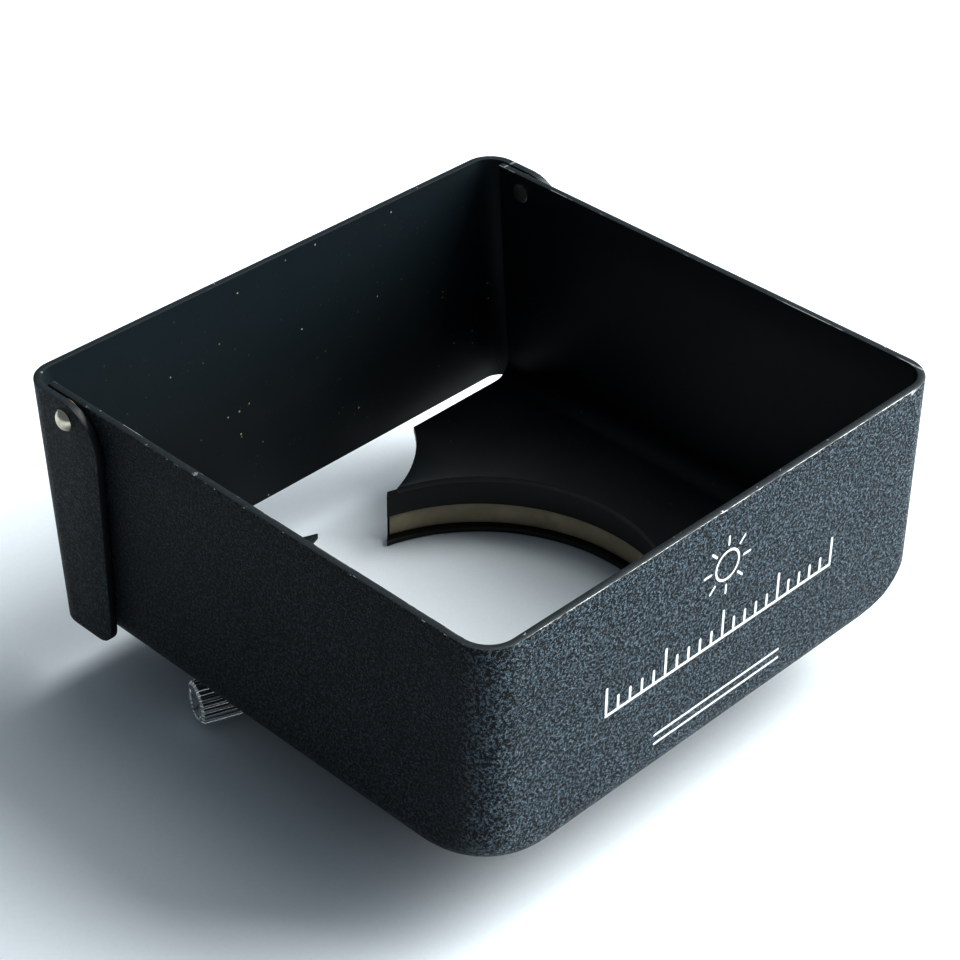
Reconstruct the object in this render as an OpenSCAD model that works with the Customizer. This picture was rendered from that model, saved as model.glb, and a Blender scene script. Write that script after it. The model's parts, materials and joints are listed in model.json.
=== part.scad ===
// Clamp-on rectangular lens hood with a swing-out flap and a thumbscrew clamp.
// Millimetres. The clamp ring's axis is Z, the hood opens towards +Z and rests on the ring's foot at Z = 0.
// The hinged flap is the +Y side, the flat marked wall is the -Y side.

/* [Hood shell] */
// Outer width of the shell, across X
shell_w = 78; // [72:0.5:84]
// Outer depth of the hood with its flap closed, across Y
hood_d = 77.2; // [74:0.2:82]
// Height of the shell from its underside to the front rim
shell_h = 33.5; // [32:0.5:36]
// Thickness of the sheet metal
sheet = 1; // [0.8:0.1:1.2]
// Outer radius of the upright corners
corner_r = 4.6; // [4.2:0.1:6]
// Outer radius in plan that an upright corner reaches at the floor
knuckle_r = 16.3; // [12:0.1:18]
// Height over which the upright corner grows into that radius
knuckle_h = 6.2; // [5:0.1:8]
// Outer radius of the bend between wall and floor
bend_r = 3.6; // [2:0.1:4]

/* [Hinged flap] */
// Height of the flap below the front rim
flap_h = 33.8; // [33:0.1:36]
// Inward lean of the flap's panel towards the floor, in degrees
flap_lean = 4.7; // [4:0.1:5]
// Outer radius of the flap's upright corners
flap_corner_r = 4; // [3.5:0.1:4.5]
// Place in Y of the free edge of the flap's two returns
return_edge_y = 24.7; // [23:0.1:25.5]
// Place in Y of the pivot rivets
pivot_y = 30.5; // [29.5:0.1:31]
// Depth of the pivot rivets below the front rim
pivot_drop = 2.6; // [2.4:0.1:3]
// Side gap between shell and flap, filled by a friction washer
side_gap = 0.3; // [0.2:0.05:0.4]

/* [Clamp ring] */
// Height of the clamp ring from its foot to the floor of the shell
ring_h = 9; // [8.5:0.1:11]
// Radius of the lip that closes on the lens mount
lip_r = 25.1; // [24.6:0.1:25.4]
// Height of the lip
lip_h = 0.8; // [0.8:0.1:1]
// Inner radius of the ring above the lining
band_r = 25.9; // [25.7:0.1:26]
// Inner radius of the lining
liner_r = 26.3; // [26.1:0.1:26.4]
// Outer radius of the ring
ring_r = 28.2; // [28:0.1:28.5]
// Height of the lining's upper edge above the foot
liner_top = 4.1; // [3.8:0.1:4.4]
// Half of the opening between the two ends of the ring
ring_gap = 7; // [6:0.5:8]
// Radius of the round hole in the floor
floor_hole_r = 24.2; // [23.5:0.1:24.8]

/* [Thumbscrew] */
// Angle of the thumbscrew from -X towards +Y, in degrees
screw_angle = 20.8; // [15:0.1:25]
// Height of the thumbscrew's axis above the foot
screw_z = 3.85; // [3.7:0.05:4.1]
// Radius of the knurled head over its ridges
head_r = 2.95; // [2.8:0.05:3.1]
// Distance of the head's end face from the ring's axis
head_face = 39.1; // [38.5:0.1:40]
// Length of the knurled head
head_l = 5.6; // [5:0.1:5.8]
// Number of ridges round the head
ridges = 24; // [18:1:28]

/* [Hidden] */

eps = 0.01;
$fn = 96;
corner_steps = 10;

// Levels above the ring's foot
shell_z = ring_h;
rim_z = ring_h + shell_h;
flap_z = rim_z - flap_h;
pivot_z = rim_z - pivot_drop;

// Sides of the hood
back_y = -hood_d / 2;
front_y = hood_d / 2;
floor_edge_y = 32;
wall_end_gap = 2.7;

// Flap
flap_half = shell_w / 2 + side_gap + sheet;
return_top_r = 5.6;
return_foot_r = 2.6;
flap_back_y = 20;

// Notch that clears the barrel of the lens above
notch_r = 23;
notch_y = 45;
notch_depth = 1.3;

// Ring
groove_r = 26.6;
tongue_r = 26.9;
gap_flare = 46;
flange_r = 31;
flange_t = 1;

// Pivot rivets
rivet_r = 0.95;
rivet_head_r = 1.45;
rivet_dome_h = 0.75;
rivet_tail_r = 1.35;
rivet_tail_h = 0.35;
pivot_play = 0.05;
washer_r = 2.4;

// Clamping screw and shoe, as distances from the ring's axis
thread_r = 1.5;
thread_play = 0.05;
bush_r = 2.9;
bush_out = 31.4;
bush_in = 27.6;
neck_r = 1.9;
neck_l = 0.8;
shoe_half_w = 4;
shoe_z0 = 1.2;
shoe_z1 = 6.6;
shoe_in = 25.8;
shoe_out = 27.2;
pad_in = 25.3;
pocket_play = 0.15;
pocket_r = 27.6;
socket_r = 1;
socket_l = 0.8;

// Body of revolution between two radii and two levels
module tube(r_in, r_out, z0, z1) {
    translate([0, 0, z0])
        difference() {
            cylinder(r = r_out, h = z1 - z0);
            translate([0, 0, -1])
                cylinder(r = r_in, h = z1 - z0 + 2);
        }
}

// Puts its children on the thumbscrew's axis, whose own +Z points away from the ring
module on_screw_axis(distance = 0) {
    rotate([0, 0, 180 - screw_angle])
        translate([distance, 0, screw_z])
            rotate([0, 90, 0])
                children();
}

// Share of the way from the corner radius to the knuckle radius, at a height above the shell's underside
function knuckle_share(h) = h >= knuckle_h ? 0 : 1 - pow(1 - pow(1 - h / knuckle_h, 1.5), 2 / 3);

// How far the bend draws the outline in, at a height above the underside of a block with that bend radius
function bend_inset(h, r) = h >= r ? 0 : r - sqrt(r * r - (r - h) * (r - h));

// Outline of the drawn block at one level: two square far corners and two round back corners
function block_outline(half, back, far, r_plan, draw, z) =
    concat([[half - draw, far, z]],
           [for (a = [0:corner_steps])
               let (t = 90 * a / corner_steps)
               [half - r_plan + (r_plan - draw) * cos(t), back + r_plan - (r_plan - draw) * sin(t), z]],
           [for (a = [0:corner_steps])
               let (t = 90 * a / corner_steps)
               [-half + r_plan - (r_plan - draw) * sin(t), back + r_plan - (r_plan - draw) * cos(t), z]],
           [[-half + draw, far, z]]);

// Solid block with the plan, bend and knuckles of the drawn shell, inset evenly by one amount
module drawn_block(inset, top) {
    half = shell_w / 2 - inset;
    back = back_y + inset;
    r_bend = bend_r - inset;
    bend_levels = [for (a = [0:22.5:67.5]) r_bend * (1 - cos(a))];
    wall_levels = [for (i = [0:3]) r_bend + (knuckle_h - inset - r_bend) * i / 3];
    levels = concat(bend_levels, wall_levels, [top - shell_z - inset]);
    count = 2 * corner_steps + 4;
    rings = [for (h = levels)
        block_outline(half, back, front_y + 10,
                      corner_r - inset + (knuckle_r - corner_r) * knuckle_share(h + inset),
                      bend_inset(h, r_bend), shell_z + inset + h)];
    sides = [for (k = [0:len(levels) - 2], i = [0:count - 1], half_quad = [0, 1])
        let (j = (i + 1) % count, low = k * count, up = (k + 1) * count)
        half_quad == 0 ? [low + i, low + j, up + j] : [low + i, up + j, up + i]];
    floor_face = [for (i = [count - 1:-1:0]) i];
    top_face = [for (i = [0:count - 1]) (len(levels) - 1) * count + i];
    polyhedron(points = [for (ring = rings, point = ring) point],
               faces = concat(sides, [floor_face, top_face]));
}

// Half space in front of the flap's inner face, moved back by a gap
module ahead_of_flap(gap) {
    translate([0, front_y - sheet - gap, rim_z])
        rotate([-flap_lean, 0, 0])
            translate([-100, 0, -100])
                cube([200, 100, 200]);
}

// Upright cylinder that makes room for the neighbouring lens barrel
module barrel_notch() {
    translate([0, notch_y, shell_z - notch_depth])
        cylinder(r = notch_r, h = 20);
}

module pivot_hole(r) {
    translate([-100, pivot_y, pivot_z])
        rotate([0, 90, 0])
            cylinder(r = r, h = 200);
}

module hood_shell() {
    color([0.10, 0.11, 0.12])
        difference() {
            drawn_block(0, rim_z);
            drawn_block(sheet, rim_z + 5);
            ahead_of_flap(wall_end_gap);
            translate([-shell_w / 2 + 2 * sheet, floor_edge_y, shell_z - 1])
                cube([shell_w - 4 * sheet, 40, 4]);
            translate([0, 0, shell_z - 1])
                cylinder(r = floor_hole_r, h = 3);
            barrel_notch();
            pivot_hole(rivet_r);
        }
}

// Plan of the flap: a panel with a rounded corner and a return at each end
module flap_plan() {
    length = front_y - flap_back_y;
    difference() {
        union() {
            translate([-flap_half, -length])
                square([2 * flap_half, length - flap_corner_r]);
            translate([-flap_half + flap_corner_r, -flap_corner_r - eps])
                square([2 * (flap_half - flap_corner_r), flap_corner_r + eps]);
            for (s = [-1, 1])
                translate([s * (flap_half - flap_corner_r), -flap_corner_r])
                    circle(r = flap_corner_r);
        }
        translate([-flap_half + sheet, -length - 1])
            square([2 * (flap_half - sheet), length + 1 - flap_corner_r]);
        translate([-flap_half + flap_corner_r, -flap_corner_r - eps])
            square([2 * (flap_half - flap_corner_r), flap_corner_r - sheet + eps]);
        for (s = [-1, 1])
            translate([s * (flap_half - flap_corner_r), -flap_corner_r])
                circle(r = flap_corner_r - sheet);
    }
}

// Side view of the flap, whose returns are rounded over the rivet and at their foot; X here is the hood's Y
module flap_side() {
    top = flap_h;
    difference() {
        translate([return_edge_y, 0])
            square([30, top]);
        difference() {
            translate([return_edge_y - 1, top - return_top_r])
                square([return_top_r + 1, return_top_r + 1]);
            translate([return_edge_y + return_top_r, top - return_top_r])
                circle(r = return_top_r);
        }
        difference() {
            translate([return_edge_y - 1, -1])
                square([return_foot_r + 1, return_foot_r + 1]);
            translate([return_edge_y + return_foot_r, return_foot_r])
                circle(r = return_foot_r);
        }
    }
}

module hinged_flap() {
    color([0.08, 0.085, 0.095])
        difference() {
            intersection() {
                translate([0, front_y, rim_z])
                    rotate([-flap_lean, 0, 0])
                        translate([0, 0, -flap_h - 5])
                            linear_extrude(flap_h + 10)
                                flap_plan();
                translate([-100, 0, flap_z])
                    rotate([90, 0, 90])
                        linear_extrude(200)
                            flap_side();
            }
            pivot_hole(rivet_r + pivot_play);
        }
}

// One rivet: shank through return, washer and wall, domed head outside, closed tail inside
module pivot_rivet() {
    outer = flap_half + pivot_play;
    inner = shell_w / 2 - sheet;
    dome_r = (rivet_head_r * rivet_head_r + rivet_dome_h * rivet_dome_h) / (2 * rivet_dome_h);
    translate([0, pivot_y, pivot_z])
        rotate([0, 90, 0]) {
            translate([0, 0, inner - rivet_tail_h])
                cylinder(r = rivet_tail_r, h = rivet_tail_h);
            translate([0, 0, inner - eps])
                cylinder(r = rivet_r, h = outer - inner + 2 * eps);
            translate([0, 0, outer])
                intersection() {
                    translate([0, 0, rivet_dome_h - dome_r])
                        sphere(r = dome_r);
                    cylinder(r = rivet_head_r, h = rivet_dome_h);
                }
        }
}

module pivot_rivets() {
    color([0.78, 0.77, 0.72]) {
        pivot_rivet();
        mirror([1, 0, 0])
            pivot_rivet();
    }
}

module friction_washers() {
    color([0.55, 0.45, 0.25])
        for (s = [-1, 1])
            translate([s * (shell_w / 2 + side_gap / 2), pivot_y, pivot_z])
                rotate([0, 90, 0])
                    difference() {
                        cylinder(r = washer_r, h = side_gap - 0.04, center = true);
                        cylinder(r = rivet_r, h = 1, center = true);
                    }
}

// Room for the shoe in the ring and in the lining
module shoe_pocket(extra) {
    rotate([0, 0, 180 - screw_angle])
        translate([pad_in - 2, -shoe_half_w - pocket_play, shoe_z0 - pocket_play])
            cube([pocket_r - pad_in + 2 + extra,
                  2 * (shoe_half_w + pocket_play),
                  shoe_z1 - shoe_z0 + 2 * pocket_play]);
}

// Takes out the stretch of a ring that faces the flap, flared outwards from the inner wall's two ends
module ring_opening(gap) {
    apex_y = sqrt(band_r * band_r - gap * gap) - gap / tan(gap_flare);
    translate([0, apex_y, -1])
        linear_extrude(ring_h + 2)
            polygon([[0, 0], [-40 * tan(gap_flare), 40], [40 * tan(gap_flare), 40]]);
}

// Room for the neighbouring lens barrel beside the ring, which leaves its ends as thin tongues
module barrel_clearance() {
    difference() {
        translate([0, notch_y, -1])
            cylinder(r = notch_r, h = ring_h);
        translate([0, 0, -2])
            cylinder(r = tongue_r, h = ring_h + 2);
    }
}

module clamp_ring() {
    color([0.07, 0.07, 0.075])
        difference() {
            union() {
                tube(lip_r, ring_r, 0, lip_h);
                tube(groove_r, ring_r, lip_h - eps, liner_top + eps);
                tube(band_r, ring_r, liner_top, ring_h);
                tube(band_r, flange_r, ring_h - flange_t, ring_h);
                on_screw_axis(groove_r)
                    cylinder(r = bush_r + 0.8, h = ring_r + 0.5 - groove_r);
            }
            ring_opening(ring_gap);
            barrel_notch();
            barrel_clearance();
            intersection() {
                shoe_pocket(0);
                tube(pad_in - 2, pocket_r, 0, ring_h);
            }
            on_screw_axis(groove_r - 2)
                cylinder(r = bush_r - 0.9, h = 10);
        }
}

module ring_lining() {
    color([0.55, 0.51, 0.41])
        difference() {
            tube(liner_r, groove_r, lip_h, liner_top);
            ring_opening(ring_gap + 0.35);
            shoe_pocket(2);
        }
}

// Threaded bush: a collar outside the ring and a neck through it
module thread_bush() {
    color([0.72, 0.60, 0.32])
        difference() {
            union() {
                on_screw_axis(ring_r + 0.5)
                    cylinder(r = bush_r, h = bush_out - ring_r - 0.5);
                on_screw_axis(bush_in)
                    cylinder(r = bush_r - 0.9, h = bush_out - bush_in);
            }
            on_screw_axis(bush_in - 2)
                cylinder(r = thread_r, h = 10);
            tube(0, pocket_r, -1, ring_h);
        }
}

// Thumbscrew: straight-knurled head, neck, threaded shank and a plain tip that turns in the shoe
module thumbscrew() {
    groove_depth = 0.32;
    head_start = head_face - head_l;
    tip_start = shoe_out - socket_l + 0.05;
    color([0.80, 0.80, 0.80]) {
        on_screw_axis(head_start)
            difference() {
                union() {
                    cylinder(r = head_r - 0.25, h = head_l);
                    translate([0, 0, 0.3])
                        cylinder(r = head_r, h = head_l - 0.6);
                }
                for (i = [0:ridges - 1])
                    rotate([0, 0, i * 360 / ridges])
                        translate([head_r + 0.06, 0, -1])
                            rotate([0, 0, 45])
                                translate([-groove_depth, -groove_depth])
                                    cube([2 * groove_depth, 2 * groove_depth, head_l + 2]);
            }
        on_screw_axis(head_start - neck_l)
            cylinder(r = neck_r, h = neck_l + eps);
        on_screw_axis(shoe_out)
            cylinder(r = thread_r - thread_play, h = head_start - neck_l - shoe_out + eps);
        on_screw_axis(tip_start)
            cylinder(r = socket_r - thread_play, h = shoe_out - tip_start + eps);
    }
}

// Curved shoe that the screw pushes against the lens mount
module pressure_shoe() {
    color([0.70, 0.58, 0.32])
        difference() {
            intersection() {
                tube(shoe_in, shoe_out, shoe_z0, shoe_z1);
                rotate([0, 0, 180 - screw_angle])
                    translate([0, -shoe_half_w, 0])
                        cube([40, 2 * shoe_half_w, 20]);
            }
            on_screw_axis(shoe_out - socket_l)
                cylinder(r = socket_r, h = 3);
        }
}

module shoe_pad() {
    color([0.55, 0.51, 0.41])
        intersection() {
            tube(pad_in, shoe_in, shoe_z0, shoe_z1);
            rotate([0, 0, 180 - screw_angle])
                translate([0, -shoe_half_w, 0])
                    cube([40, 2 * shoe_half_w, 20]);
        }
}

hood_shell();
hinged_flap();
pivot_rivets();
friction_washers();
clamp_ring();
ring_lining();
thread_bush();
thumbscrew();
pressure_shoe();
shoe_pad();
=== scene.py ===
"""Looks of a clamp-on lens hood: pressed shell, riveted flap, lined clamp ring and knurled thumbscrew.

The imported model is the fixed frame. +Z is the ring's axis towards the open rim, +Y the hinged flap.
"""
import json
import math

import bmesh
import bpy
from bpy.props import FloatProperty, FloatVectorProperty, IntProperty, PointerProperty
from mathutils import Matrix, Vector


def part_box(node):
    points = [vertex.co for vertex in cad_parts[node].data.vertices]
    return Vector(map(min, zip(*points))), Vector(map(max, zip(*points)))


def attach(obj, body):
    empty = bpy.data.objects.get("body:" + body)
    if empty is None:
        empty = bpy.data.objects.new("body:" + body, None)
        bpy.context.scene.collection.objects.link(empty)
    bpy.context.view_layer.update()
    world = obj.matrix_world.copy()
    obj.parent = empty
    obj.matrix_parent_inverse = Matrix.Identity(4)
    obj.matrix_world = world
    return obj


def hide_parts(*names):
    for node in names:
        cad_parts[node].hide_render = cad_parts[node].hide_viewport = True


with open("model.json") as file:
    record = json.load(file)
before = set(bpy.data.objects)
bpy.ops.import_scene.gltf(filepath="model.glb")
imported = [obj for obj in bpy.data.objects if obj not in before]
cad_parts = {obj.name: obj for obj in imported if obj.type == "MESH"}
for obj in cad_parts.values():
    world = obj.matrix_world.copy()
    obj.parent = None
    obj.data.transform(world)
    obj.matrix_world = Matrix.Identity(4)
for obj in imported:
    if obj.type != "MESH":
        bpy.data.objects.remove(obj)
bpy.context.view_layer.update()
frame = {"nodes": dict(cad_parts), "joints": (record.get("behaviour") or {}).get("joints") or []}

bl_info = {
    "name": "Clamp-on lens hood",
    "version": (1, 0, 0),
    "blender": (4, 5, 0),
    "location": "View3D > Sidebar > Lens Hood",
    "description": "Builds the hood's pieces and its studio around the packed frame",
    "category": "Object",
}

MM = 0.001

RUNNING_PLAY = 0.05 * MM      # between a pin or screw and its hole, on the radius
BUSH_INSIDE = 27.6 * MM       # how far off the ring's axis the bush and the shoe's pocket meet
BUSH_NECK = 2.0 * MM          # radius of the bush where it goes through the ring
BOSS_HEIGHT = 0.5 * MM        # how far the bush's seat stands off the ring
MARK_RELIEF = 0.03 * MM       # how far the filled marks stand proud of the enamel
RING_STEPS = 180
BARREL_STEPS = 128

SHELL_LOW, SHELL_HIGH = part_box("hood_shell")
FLAP_LOW, FLAP_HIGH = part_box("hinged_flap")
RING_LOW, RING_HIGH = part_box("clamp_ring")
JOINTS = {joint["name"]: joint for joint in frame["joints"]}
PIVOT = Vector(JOINTS["flap_hinge"]["pos_m"])
SCREW_OUTWARD = -Vector(JOINTS["shoe_slide"]["axis"]).normalized()
SCREW_HEIGHT = JOINTS["thumbscrew_turn"]["pos_m"][2]


def length(name, description, default):
    return FloatProperty(name=name, description=description, default=default, unit="LENGTH", precision=5)


def colour(name, description, default):
    return FloatVectorProperty(name=name, description=description, default=default, subtype="COLOR",
                               size=3, min=0, max=1)


class ShellSettings(bpy.types.PropertyGroup):
    sheet: length("Sheet", "Thickness of the sheet metal", 1.0 * MM)
    corner_radius: length("Corner radius", "Outer radius of the upright corners", 4.6 * MM)
    knuckle_radius: length("Knuckle radius", "Radius in plan that a corner reaches at the floor", 16.3 * MM)
    knuckle_height: length("Knuckle height", "Height over which the corner grows into that radius", 6.2 * MM)
    bend_radius: length("Bend radius", "Outer radius between wall and floor", 3.6 * MM)
    edge_round: length("Edge rounding", "Rounding of the cut edges of the sheet", 0.14 * MM)
    floor_hole: length("Floor hole", "Radius of the round hole in the floor", 24.2 * MM)
    floor_edge: length("Floor edge", "Place in Y of the floor's edge under the flap", 32.0 * MM)
    notch_radius: length("Notch radius", "Radius of the notch that clears the lens above", 23.0 * MM)
    notch_centre: length("Notch centre", "Place in Y of the notch's centre", 45.0 * MM)
    corner_steps: IntProperty(name="Corner steps", description="Facets round one corner", default=14, min=4)


class FlapSettings(bpy.types.PropertyGroup):
    corner_radius: length("Corner radius", "Outer radius of the flap's upright corners", 4.0 * MM)
    return_top: length("Return's top radius", "Rounding of the return over the rivet", 5.6 * MM)
    return_foot: length("Return's foot radius", "Rounding of the return at its foot", 2.6 * MM)
    lean: FloatProperty(name="Lean", description="Inward lean of the panel towards the floor",
                        default=math.radians(4.7), subtype="ANGLE")
    rivet_head: length("Rivet head", "Radius of the rivets' domed heads", 1.45 * MM)
    rivet_shank: length("Rivet shank", "Radius of the rivets' shanks", 0.95 * MM)
    rivet_dome: length("Rivet dome", "Height of the rivets' domed heads", 0.75 * MM)


class RingSettings(bpy.types.PropertyGroup):
    lip_radius: length("Lip radius", "Radius of the lip that closes on the lens", 25.1 * MM)
    lip_height: length("Lip height", "Height of the lip", 0.8 * MM)
    band_radius: length("Band radius", "Inner radius of the ring above its lining", 25.9 * MM)
    lining_radius: length("Lining radius", "Inner radius of the lining", 26.3 * MM)
    groove_radius: length("Groove radius", "Radius of the groove that holds the lining", 26.6 * MM)
    outer_radius: length("Outer radius", "Outer radius of the ring", 28.2 * MM)
    flange_radius: length("Flange radius", "Radius of the flange under the floor", 31.0 * MM)
    lining_top: length("Lining top", "Height of the lining's upper edge", 4.1 * MM)
    tongue_radius: length("Tongue radius", "Outer radius of the ring's thin ends", 26.9 * MM)
    gap_right: length("Gap on the right", "Distance from the middle to the ring's end at +X", 7.0 * MM)
    gap_left: length("Gap on the left", "Distance from the middle to the ring's end at -X", 7.0 * MM)
    flare: FloatProperty(name="Flare", description="Half of the angle between the ring's two end faces",
                         default=math.radians(46), subtype="ANGLE")
    notch_level: length("Notch level", "Height at which the notch's cut ends in the ring", 7.7 * MM)


class ScrewSettings(bpy.types.PropertyGroup):
    head_radius: length("Head radius", "Radius of the knurled head over its ridges", 2.95 * MM)
    head_length: length("Head length", "Length of the knurled head", 5.6 * MM)
    ridges: IntProperty(name="Ridges", description="Ridges round the head", default=24, min=12, max=36)
    groove: length("Groove", "Depth of the grooves between the ridges", 0.34 * MM)
    thread_radius: length("Thread radius", "Outer radius of the thread", 1.45 * MM)
    pitch: length("Pitch", "Pitch of the thread", 0.5 * MM)


class FinishSettings(bpy.types.PropertyGroup):
    crinkle_dark: colour("Crinkle valleys", "Colour of the crinkle's valleys", (0.0014, 0.0022, 0.0036))
    # crinkle_crest_glint is a painted highlight: the crests' pale colour stands in for glints of light on
    # them.
    crinkle_crest_glint: colour("Crinkle crests", "Colour of the crinkle's crests", (0.30, 0.43, 0.53))
    crinkle_size: length("Crinkle grain", "Width of one grain of the crinkle enamel", 0.28 * MM)
    smooth_black: colour("Inner enamel", "Colour of the smooth enamel inside", (0.0022, 0.0050, 0.0066))
    # rim_painted_skylight is painted light: the top rim's slate tone stands in for sky light falling on its
    # upward faces.
    rim_painted_skylight: colour("Rim enamel", "Colour of the enamel on the cut edges", (0.009, 0.014, 0.017))
    bare_metal: colour("Bare metal", "Colour of the sheet where the enamel has worn off", (0.72, 0.74, 0.73))
    ring_black: colour("Ring enamel", "Colour of the clamp ring", (0.0030, 0.0033, 0.0034))
    felt: colour("Felt", "Colour of the lining and the shoe's pad", (0.42, 0.37, 0.27))
    nickel: colour("Nickel", "Colour of the rivets", (0.66, 0.62, 0.53))
    brass: colour("Brass", "Colour of the bush, the shoe and the washers", (0.60, 0.43, 0.19))
    chrome: colour("Chrome", "Colour of the thumbscrew", (0.74, 0.75, 0.76))
    fill_white: colour("Fill paint", "Colour of the paint in the engraved marks", (0.84, 0.87, 0.86))


class StageSettings(bpy.types.PropertyGroup):
    camera_place: FloatVectorProperty(name="Camera place", description="Where the camera stands", size=3,
                                      default=(-0.193950, -0.186850, 0.217914), unit="LENGTH", precision=5)
    azimuth: FloatProperty(name="Azimuth", description="Bearing of the view, from +Y towards -X",
                           default=math.radians(-45.9516), subtype="ANGLE")
    elevation: FloatProperty(name="Elevation", description="Height of the view above the horizon",
                             default=math.radians(35.3909), subtype="ANGLE")
    roll: FloatProperty(name="Roll", description="Turn of the camera about its view",
                        default=math.radians(0.785), subtype="ANGLE")
    lens: FloatProperty(name="Lens", description="Focal length on a 36 mm sensor, in millimetres",
                        default=100.216)
    floor_colour: colour("Floor", "Colour of the floor", (0.80, 0.86, 0.90))
    key_power: FloatProperty(name="Key light", description="Power of the large soft light", default=52.0)
    top_power: FloatProperty(name="Top light", description="Power of the light overhead", default=7.0)
    fill_strength: FloatProperty(name="Fill", description="Light from all round", default=0.27)


class HoodSettings(bpy.types.PropertyGroup):
    shell: PointerProperty(type=ShellSettings)
    flap: PointerProperty(type=FlapSettings)
    ring: PointerProperty(type=RingSettings)
    screw: PointerProperty(type=ScrewSettings)
    finish: PointerProperty(type=FinishSettings)
    stage: PointerProperty(type=StageSettings)


# ---------------------------------------------------------------- shader maths


class Value:
    """What a shader socket gives. Arithmetic on it adds Math nodes."""

    def __init__(self, shader, socket):
        self.shader = shader
        self.socket = socket

    def _maths(self, operation, *terms):
        return self.shader.node("ShaderNodeMath", {"operation": operation}, dict(enumerate(terms)))

    def __add__(self, other):
        return self._maths("ADD", self, other)

    __radd__ = __add__

    def __mul__(self, other):
        return self._maths("MULTIPLY", self, other)

    __rmul__ = __mul__

    def __sub__(self, other):
        return self._maths("SUBTRACT", self, other)

    def __rsub__(self, other):
        return self._maths("SUBTRACT", other, self)

    def __pow__(self, power):
        return self._maths("POWER", self, power)

    def __abs__(self):
        return self._maths("ABSOLUTE", self)

    def at_least(self, other):
        return self._maths("MAXIMUM", self, other)

    def at_most(self, other):
        return self._maths("MINIMUM", self, other)

    def root(self):
        return self._maths("SQRT", self)

    def steps(self, low, high):
        """0 below low, 1 above high, and smooth between them; low may be the larger."""
        return self.shader.node("ShaderNodeMapRange", {"interpolation_type": "SMOOTHSTEP", "clamp": True},
                                {"Value": self, "From Min": low, "From Max": high})


class Shader:
    """A material whose nodes are made by calls."""

    def __init__(self, name):
        self.material = bpy.data.materials.new(name)
        self.material.use_nodes = True
        self.tree = self.material.node_tree
        self.surface = self.tree.nodes["Principled BSDF"]
        self.place = self.node("ShaderNodeTexCoord", output="Object")
        self.x, self.y, self.z = (self.node("ShaderNodeSeparateXYZ", None, {"Vector": self.place}, axis)
                                  for axis in "XYZ")

    def put(self, socket, value):
        if isinstance(value, Value):
            self.tree.links.new(value.socket, socket)
        elif socket.type == "RGBA" and len(value) == 3:
            socket.default_value = (*value, 1)
        else:
            socket.default_value = value

    def node(self, kind, settings=None, inputs=None, output=0):
        made = self.tree.nodes.new(kind)
        for key, value in (settings or {}).items():
            setattr(made, key, value)
        for key, value in (inputs or {}).items():
            self.put(made.inputs[key], value)
        return Value(self, made.outputs[output])

    def noise(self, size, detail=2.0, roughness=0.5, shift=0.0, stretch=(1, 1, 1), warp=0.0):
        """Noise whose grains are about size metres wide."""
        place = self.node("ShaderNodeMapping", None,
                          {"Vector": self.place, "Location": (shift, shift, shift), "Scale": stretch})
        return self.node("ShaderNodeTexNoise", None,
                         {"Vector": place, "Scale": 1 / size, "Detail": detail, "Roughness": roughness,
                          "Distortion": warp})

    def cells(self, size, output="Distance"):
        """Cells about size metres wide, as the distance from each one's middle or as a colour of its own."""
        return self.node("ShaderNodeTexVoronoi", {"feature": "F1"},
                         {"Vector": self.place, "Scale": 1 / size}, output)

    def mix(self, mask, first, second):
        """The first colour where the mask is 0, the second where it is 1."""
        return self.node("ShaderNodeMix", {"data_type": "RGBA"}, {0: mask, 6: first, 7: second}, 2)

    def bump(self, height, distance, strength):
        return self.node("ShaderNodeBump", None,
                         {"Height": height, "Distance": distance, "Strength": strength})

    def finish(self, base, roughness, metallic, normal, **fixed):
        """Links what varies over the surface, sets what is the same all over, and returns the material."""
        for socket, value in (("Base Color", base), ("Roughness", roughness), ("Metallic", metallic),
                              ("Normal", normal)):
            self.put(self.surface.inputs[socket], value)
        for name, value in fixed.items():
            self.surface.inputs[name.replace("_", " ")].default_value = value
        return self.material


def rim_distance(shader, plane_axis, plane, level):
    """Distance from the edge where a wall's upright plane meets a level."""
    across = abs(plane_axis - plane)
    up = abs(shader.z - level)
    return (across * across + up * up).root()


def worn_band(distance, ragged, outer, inner):
    """1 nearer than inner to an edge and 0 past outer, with a ragged border between them."""
    return (distance + ragged).steps(outer, inner)


def edge_nicks(distance, ragged, places):
    """Short nicks along an edge, in the given places."""
    return worn_band(distance, ragged * (0.2 * MM), 0.26 * MM, 0.2 * MM) * places


# ------------------------------------------------------------------- materials


def crinkle_enamel(name, finish, wall_wear):
    """Baked crinkle enamel: pebbled, with pale crests that are a painted glint, strongest on the lit front
    wall, and bare metal along worn edges.
    """
    s = Shader(name)
    fine = s.noise(finish.crinkle_size, detail=3.0, roughness=0.6, warp=1.1)
    pebble = s.cells(finish.crinkle_size * 1.2)
    patch = s.noise(finish.crinkle_size * 1.4, shift=0.4).steps(0.40, 0.58)
    cloud = s.noise(9 * MM)
    ridge = abs(fine - 0.5).steps(0.058, 0.012)
    height = ridge * 0.6 + fine * 0.6 + (1 - pebble) * 0.3
    # Painted light: the front wall faces the key light, so its crests carry the painted glint in full and
    # the other walls only 0.3 of it.
    lit_front_wall = s.y.steps(SHELL_LOW.y + 5 * MM, SHELL_LOW.y + 0.5 * MM)
    crest = ridge * patch * (0.8 + cloud * 0.4) * (0.30 + lit_front_wall * 0.70)
    tone = s.mix(crest, finish.crinkle_dark, finish.crinkle_crest_glint)
    ragged = s.noise(0.9 * MM, detail=4.0, roughness=0.7)
    wear = wall_wear(s, ragged)
    return s.finish(s.mix(wear, tone, finish.bare_metal), (0.50 - ridge * 0.2) - wear * 0.1, wear,
                    s.bump(height * (1 - wear), 0.14 * MM, 0.9), Specular_IOR_Level=0.2)


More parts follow.
